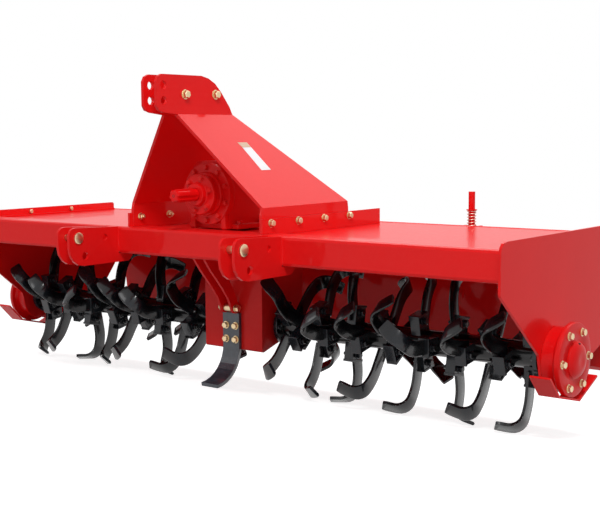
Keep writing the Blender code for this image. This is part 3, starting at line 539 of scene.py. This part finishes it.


# ---------------------------------------------------------------- end bearings
# A round casting bolts through each end plate; a domed cap covers the shaft's end, and a
# small vent hole sits at its top, drawn as a small boss in painted shade.
BEARING_FACE = 1.147
BEARING_BOLT_CIRCLE = 0.0825
for name, side in SIDES.items():
    body = bmesh.new()
    turned(
        body, along("X", sign=side),
        [
            (1.0865, 0), (1.0865, 0.0875), (1.120, 0.0865), (1.128, 0.092), (1.1305, 0.1020),
            (1.1325, 0.1036), (1.1440, 0.1036), (1.1462, 0.1022), (1.1470, 0.0995),
            (1.1470, 0.0560), (1.1464, 0.0548), (1.1470, 0.0535), (1.1470, 0),
        ],
        72,
    )
    finished(f"bearing_body_{name}", body, RED_CAST, "frame", f"end_bearing_{name}")
    cap = bmesh.new()
    dome = [(1.1472, 0), (1.1472, 0.0516), (1.1515, 0.0516), (1.1530, 0.0500)]
    for step in range(1, 8):
        angle = pi / 2 * step / 7
        dome.append((1.1530 + 0.0130 * sin(angle), 0.0190 + 0.0290 * cos(angle)))
    dome += [(1.1655, 0.012), (1.1648, 0)]
    turned(cap, along("X", sign=side), dome, 64)
    finished(f"bearing_dome_{name}", cap, RED_CAST, "frame", f"bearing_cap_{name}")
    # The vent is a small boss in painted shade: its dark red stands for the shade inside the vent hole.
    vent = bmesh.new()
    turned(
        vent, along("X", (side * 1.1535, 0, 0.044), side),
        [(0, 0), (0, 0.0042), (0.0062, 0.0042), (0.0066, 0.0030), (0.0040, 0.0026), (0.0040, 0)], 16,
    )
    finished(f"bearing_vent_hole_shade_{name}", vent, HOLE_SHADE, "frame")
    bolts = bmesh.new()
    for step in range(6):
        angle = pi / 3 * step
        spot = (
            side * BEARING_FACE, BEARING_BOLT_CIRCLE * cos(angle), BEARING_BOLT_CIRCLE * sin(angle),
        )
        bolt(bolts, along("X", spot, side), 0.017, turn=0.2 + step)
    finished(f"bearing_bolts_{name}", bolts, ZINC, "frame", bevel=0.0004)


# ---------------------------------------------------------------- gearbox front
# A turned flange with a ring of bolts closes the housing; a smaller cap with six bolts
# holds the oil seal, and the splined shaft runs out through its collar.
GEARBOX_AXIS = 0.4326
FLANGE_CIRCLE, SEAL_CIRCLE = 0.083, 0.0515
front = along("Y", (0, 0, GEARBOX_AXIS), -1)
flange = bmesh.new()
turned(
    flange, front,
    [
        (0.1930, 0.0930), (0.1930, 0.0972), (0.2135, 0.0972), (0.2175, 0.0945), (0.2178, 0.0715),
        (0.2178, 0.0600),
    ],
    80,
)
for step in range(10):
    angle = 2 * pi * (step + 0.5) / 10
    across, up = FLANGE_CIRCLE * cos(angle), FLANGE_CIRCLE * sin(angle)
    spot = front @ Matrix.Translation((across, up, 0.2175))
    bolt(flange, spot, 0.014, turn=0.5 * step)
finished("gearbox_flange_ring", flange, RED_CAST, "frame")
seal_cap = bmesh.new()
turned(
    seal_cap, front,
    [
        (0.2174, 0.0212), (0.2174, 0.0685), (0.2270, 0.0685), (0.2293, 0.0660), (0.2300, 0.0590),
        (0.2460, 0.0586), (0.2475, 0.0640), (0.2550, 0.0640), (0.2570, 0.0615), (0.2570, 0.0385),
        (0.2590, 0.0358), (0.2725, 0.0345), (0.2740, 0.0325), (0.2740, 0.0212),
    ],
    72,
)
for step in range(6):
    angle = 2 * pi * step / 6 + 0.26
    across, up = SEAL_CIRCLE * cos(angle), SEAL_CIRCLE * sin(angle)
    spot = front @ Matrix.Translation((across, up, 0.2568))
    bolt(seal_cap, spot, 0.013, turn=0.4 * step)
finished("gearbox_seal_cap", seal_cap, RED_CAST, "frame", "input_bearing_cap")

SPLINES = 6
SPLINE_START, SPLINE_DEPTH = 0.282, 0.0030
SHAFT_PROFILE = (
    (0.1405, 0.0200), (0.2800, 0.0200), (0.2840, 0.0207), (0.3620, 0.0207), (0.3668, 0.0175),
)
shaft = bmesh.new()
rings = []
for height, crest in SHAFT_PROFILE:
    splined = height > SPLINE_START
    ring = []
    for i in range(SPLINES * 8):
        phase = i % 8
        root = crest - SPLINE_DEPTH if splined and phase in (4, 5, 6, 7) else crest
        angle = 2 * pi * i / (SPLINES * 8)
        ring.append(shaft.verts.new(front @ Vector((root * cos(angle), root * sin(angle), height))))
    rings.append(ring)
for low, high in zip(rings, rings[1:]):
    for i in range(len(low)):
        j = (i + 1) % len(low)
        shaft.faces.new((low[i], low[j], high[j], high[i]))
shaft.faces.new(rings[0])
shaft.faces.new(rings[-1])
finished("splined_shaft", shaft, RED, "input", "input_shaft", smooth=28, bevel=0.0004)
# A thin dark disc on the shaft's end is painted shade, standing for the shade inside its centre hole.
centre_hole_shade = bmesh.new()
turned(
    centre_hole_shade, front,
    [(0.3664, 0), (0.3664, 0.0045), (0.3669, 0.0045), (0.3669, 0.0035), (0.3664, 0)], 20,
)
finished("shaft_centre_hole_shade", centre_hole_shade, HOLE_SHADE, "input")

housing_bolts = bmesh.new()
for x in (-0.090, 0.090):
    for y in (-0.165, -0.060, 0.045):
        bolt(housing_bolts, along("Z", (x, y, 0.3370)), 0.017)
turned(
    housing_bolts, along("Z", (0.030, -0.040, 0.5345)),
    [
        (0, 0), (0, 0.017), (0.006, 0.017), (0.008, 0.011), (0.018, 0.011), (0.020, 0.014),
        (0.030, 0.014), (0.034, 0.010), (0.034, 0),
    ],
    24,
)
finished("gearbox_bolts", housing_bolts, RED_CAST, "frame", bevel=0.0004)


# ---------------------------------------------------------------- mast and rail bolts
# Zinc-plated bolts clamp the mast plates to their rails and draw the two heads onto a
# spacer; a blank label sits on the left plate's slope.
MAST_FOOT_X = 0.271
RAIL_FACE = 0.2844
RAIL_BOLT_Z = 0.3535
RAIL_BOLTS_Y = (-0.248, -0.116, 0.016, 0.152)
TIE_BOLTS = {"front": (-0.342, 0.738), "rear": (-0.206, 0.740)}
HEAD_OUTER = 0.032
rail_bolts = bmesh.new()
for side in SIDES.values():
    for number, y in enumerate(RAIL_BOLTS_Y):
        bolt(rail_bolts, along("X", (side * RAIL_FACE, y, RAIL_BOLT_Z), side), 0.018, turn=number)
        inner = (side * (MAST_FOOT_X - 0.005), y, RAIL_BOLT_Z)
        bolt(rail_bolts, along("X", inner, -side), 0.018, turn=number * 0.7, stem=0.007)
finished("mast_rail_bolts", rail_bolts, ZINC, "frame", bevel=0.0004)
for name, (y, z) in TIE_BOLTS.items():
    tie = bmesh.new()
    spacer = [(-0.0217, 0), (-0.0217, 0.0125), (0.0217, 0.0125), (0.0217, 0)]
    turned(tie, along("X", (0, y, z)), spacer, 32)
    bolt(tie, along("X", (HEAD_OUTER + 0.0002, y, z), 1), 0.0215)
    bolt(tie, along("X", (-HEAD_OUTER - 0.0002, y, z), -1), 0.0215)
    finished(f"mast_tie_{name}", tie, ZINC, "frame", f"mast_tie_bolt_{name}", bevel=0.0004)


def patch(name, corners, finish, thickness=0.0004):
    """A thin flat sticker from four corners on the left mast plate's slope."""
    bm = bmesh.new()
    base = [Vector(c) for c in corners]
    face = (base[1] - base[0]).cross(base[2] - base[0]).normalized()
    if face.x < 0:
        face = -face
    low = [bm.verts.new(c) for c in base]
    high = [bm.verts.new(c + face * thickness) for c in base]
    bm.faces.new(low)
    bm.faces.new(high)
    for i in range(4):
        j = (i + 1) % 4
        bm.faces.new((low[i], low[j], high[j], high[i]))
    finished(name, bm, finish, "frame")


def on_slope(y, share):
    """A point on the outer face of the left mast plate, by its share down the slope."""
    way = Vector((0.271 - 0.027, 0, 0.398 - 0.677))
    face = Vector((-way.z, 0, way.x)).normalized()
    return Vector((0.027, y, 0.677)) + way * share + face * 0.0051


patch(
    "mast_label",
    [on_slope(-0.184, 0.37), on_slope(-0.143, 0.37), on_slope(-0.121, 0.62), on_slope(-0.166, 0.62)],
    LABEL_WHITE,
)
patch(
    "mast_label_top",
    [on_slope(-0.192, 0.315), on_slope(-0.148, 0.315), on_slope(-0.143, 0.368), on_slope(-0.184, 0.368)],
    LABEL_TAN,
)


# ---------------------------------------------------------------- lower hitch pins
# A plated steel pin crosses each pair of hitch plates. Both ends have a flat round head with
# a turned chamfer, so that the pin can't slide out.
HITCH_PIN = (-0.4786, 0.2967)
LUG_X = 0.3415
for name, side in SIDES.items():
    pin = bmesh.new()
    reach = 0.0313
    middle = (side * LUG_X, *HITCH_PIN)
    turned(
        pin, along("X", middle),
        [
            (-reach - 0.006, 0), (-reach - 0.006, 0.0155), (-reach - 0.0045, 0.0178), (-reach, 0.0178),
            (-reach, 0.0108), (reach, 0.0108), (reach, 0.0178), (reach + 0.0045, 0.0178),
            (reach + 0.006, 0.0155), (reach + 0.006, 0),
        ],
        40,
    )
    finished(f"hitch_pin_turned_{name}", pin, ZINC, "frame", f"hitch_pin_{name}")


# ---------------------------------------------------------------- centre tine
# A forged, enamelled tine parts the ground ahead of the case. Four plated bolts hold it on
# the case, and one bolt above it clamps both arm eyes.
TINE_FACE_Y = -0.1124
drawn_tine = frame["nodes"]["centre_tine"]
tine = bmesh.new()
tine.from_mesh(drawn_tine.data)
tine.transform(STANCE.inverted() @ drawn_tine.matrix_world)
bmesh.ops.remove_doubles(tine, verts=tine.verts, dist=1e-5)
finished("tine_forging", tine, TINE_STEEL, "frame", "centre_tine")
tine_bolts = bmesh.new()
for x in (-0.020, 0.020):
    for z in (0.0, -0.045):
        bolt(tine_bolts, along("Y", (x, TINE_FACE_Y, z), -1), 0.018, turn=x * 40 + z * 30)
finished("tine_bolts", tine_bolts, ZINC, "frame", bevel=0.0004)
eye_bolt = bmesh.new()
eye = (-0.1178, 0.0593)
turned(eye_bolt, along("X", (0, *eye)), [(-0.016, 0), (-0.016, 0.0125), (0.016, 0.0125), (0.016, 0)], 28)
bolt(eye_bolt, along("X", (0.0275, *eye), 1), 0.020)
bolt(eye_bolt, along("X", (-0.0275, *eye), -1), 0.020)
finished("arm_eye_bolt", eye_bolt, ZINC, "frame", bevel=0.0004)


# ---------------------------------------------------------------- arms of the tine
# Two bent straps run from behind the beam down to a shared bolt over the tine; each ends
# in a round eye. They are cut from flat bar and welded to the beam.
ARM_X, ARM_T = 0.022, 0.010
EYE_RADIUS = 0.0175
ARM_PATH = (
    (-0.238, 0.2340, 0.026), (-0.212, 0.205, 0.024), (-0.165, 0.145, 0.020), (-0.136, 0.100, 0.0165),
)


def arm_outline():
    """The strap's front edge down to its eye, and its rear edge back up."""
    front, rear = [], []
    points = [Vector((y, z)) for y, z, _ in ARM_PATH] + [Vector(eye)]
    for i, (y, z, half) in enumerate(ARM_PATH):
        way = (points[i + 1] - points[max(i - 1, 0)]).normalized()
        across = Vector((-way.y, way.x)) * half
        if i == 0:
            across = Vector((half, 0))
        front.append(Vector((y, z)) - across)
        rear.append(Vector((y, z)) + across)
    way = (points[-1] - points[-2]).normalized()
    across = Vector((-way.y, way.x))
    round_end = [
        Vector(eye) + EYE_RADIUS * (-across * cos(a) + way * sin(a))
        for a in (pi * k / 12 for k in range(13))
    ]
    return front + round_end + rear[::-1]


for name, side in SIDES.items():
    arm = bmesh.new()
    sides = [
        [arm.verts.new((side * ARM_X + half, p.x, p.y)) for p in arm_outline()]
        for half in (-ARM_T / 2, ARM_T / 2)
    ]
    for i in range(len(sides[0])):
        j = (i + 1) % len(sides[0])
        arm.faces.new((sides[0][i], sides[0][j], sides[1][j], sides[1][i]))
    arm.faces.new(sides[0])
    arm.faces.new(sides[1])
    finished(f"tine_strap_{name}", arm, RED, "frame", f"tine_arm_{name}", bevel=0.0008)


# ---------------------------------------------------------------- hood edge bolts
# A steel angle runs along the top of each end plate, inside it. Plated bolts through its
# upright leg hold it to the plate.
EDGE_BOLT_X, EDGE_BOLT_Z = 1.0727, 0.3300
edge_bolts = bmesh.new()
for side in SIDES.values():
    for y in (-0.049, 0.151):
        bolt(edge_bolts, along("X", (side * EDGE_BOLT_X, y, EDGE_BOLT_Z), -side), 0.015, washer=False)
finished("hood_edge_bolts", edge_bolts, ZINC, "frame", bevel=0.0003)


# ---------------------------------------------------------------- weld beads
# Fillet welds run down the beam's face beside the hitch plates, and under and over the beam
# at the plates, the mast, the gearbox and the tine's arms. They are painted with the rest.
def weld_bead(bm, start, end, radius):
    """A row of overlapping ripples from start to end."""
    start, end = Vector(start), Vector(end)
    way = (end - start).normalized()
    count = max(3, int((end - start).length / (radius * 0.9)))
    turn = way.to_track_quat("Z", "Y").to_matrix().to_4x4()
    profile = []
    for i in range(count + 1):
        run = (end - start).length * i / count
        ripple = radius * (1.0 if i % 2 else 0.80)
        profile.append((run, ripple * (0.5 if i in (0, count) else 1)))
    profile = [(0, 0)] + profile + [((end - start).length, 0)]
    turned(bm, Matrix.Translation(start) @ turn, profile, 10)


BEAM_FRONT, BEAM_TOP, BEAM_LOW = -0.3063, 0.3227, 0.2347
LUG_FACES = (LUG_X - 0.031, LUG_X - 0.021, LUG_X + 0.021, LUG_X + 0.031)


def level_bead(x, y_start, y_end, z, radius=0.003):
    """A bead that runs front to back at one height."""
    weld_bead(welds, (x, y_start, z), (x, y_end, z), radius)


welds = bmesh.new()
for side in SIDES.values():
    for x in LUG_FACES:
        foot, head = BEAM_LOW + 0.004, BEAM_TOP - 0.003
        weld_bead(welds, (side * x, BEAM_FRONT, foot), (side * x, BEAM_FRONT, head), 0.0032)
    for x in (LUG_FACES[0], LUG_FACES[3]):
        level_bead(side * x, -0.298, -0.246, BEAM_LOW)
    level_bead(side * 0.276, -0.286, -0.222, BEAM_TOP)
    level_bead(side * 0.0640, -0.2175, -0.200, BEAM_TOP + 0.002, 0.0028)
    level_bead(side * 0.016, -0.2180, -0.262, BEAM_LOW)
finished("weld_beads", welds, RED, "frame", smooth=60)


# ---------------------------------------------------------------- pressure springs
# A coil of plated spring wire stands on each rod, above the swivelling guide that the rod
# slides in. It keeps the trailing board pressed down.
ROD_X, ROD_Y = 0.567, 0.455
SPRING_LOW, SPRING_HIGH = 0.3103, 0.3618
WIRE, COIL_RADIUS = 0.0019, 0.0138
for name, side in SIDES.items():
    coil = bmesh.new()
    turns, steps = 6.5, 20
    total = int(turns * steps)
    rings = []
    for i in range(total + 1):
        angle = 2 * pi * i / steps
        share = min(1, max(0, (i - steps * 0.8) / (total - steps * 1.6)))
        height = SPRING_LOW + WIRE + (SPRING_HIGH - SPRING_LOW - 2 * WIRE) * share
        centre = Vector((side * ROD_X, ROD_Y, height))
        centre += Vector((cos(angle), sin(angle), 0)) * COIL_RADIUS
        outward = Vector((cos(angle), sin(angle), 0))
        rings.append(
            [
                coil.verts.new(centre + (outward * cos(a) + Vector((0, 0, 1)) * sin(a)) * WIRE)
                for a in (2 * pi * k / 8 for k in range(8))
            ]
        )
    for low, high in zip(rings, rings[1:]):
        for i in range(8):
            j = (i + 1) % 8
            coil.faces.new((low[i], low[j], high[j], high[i]))
    coil.faces.new(rings[0])
    coil.faces.new(rings[-1])
    finished(f"pressure_spring_{name}", coil, SPRING_STEEL, "rod_guides", f"rod_spring_{name}")
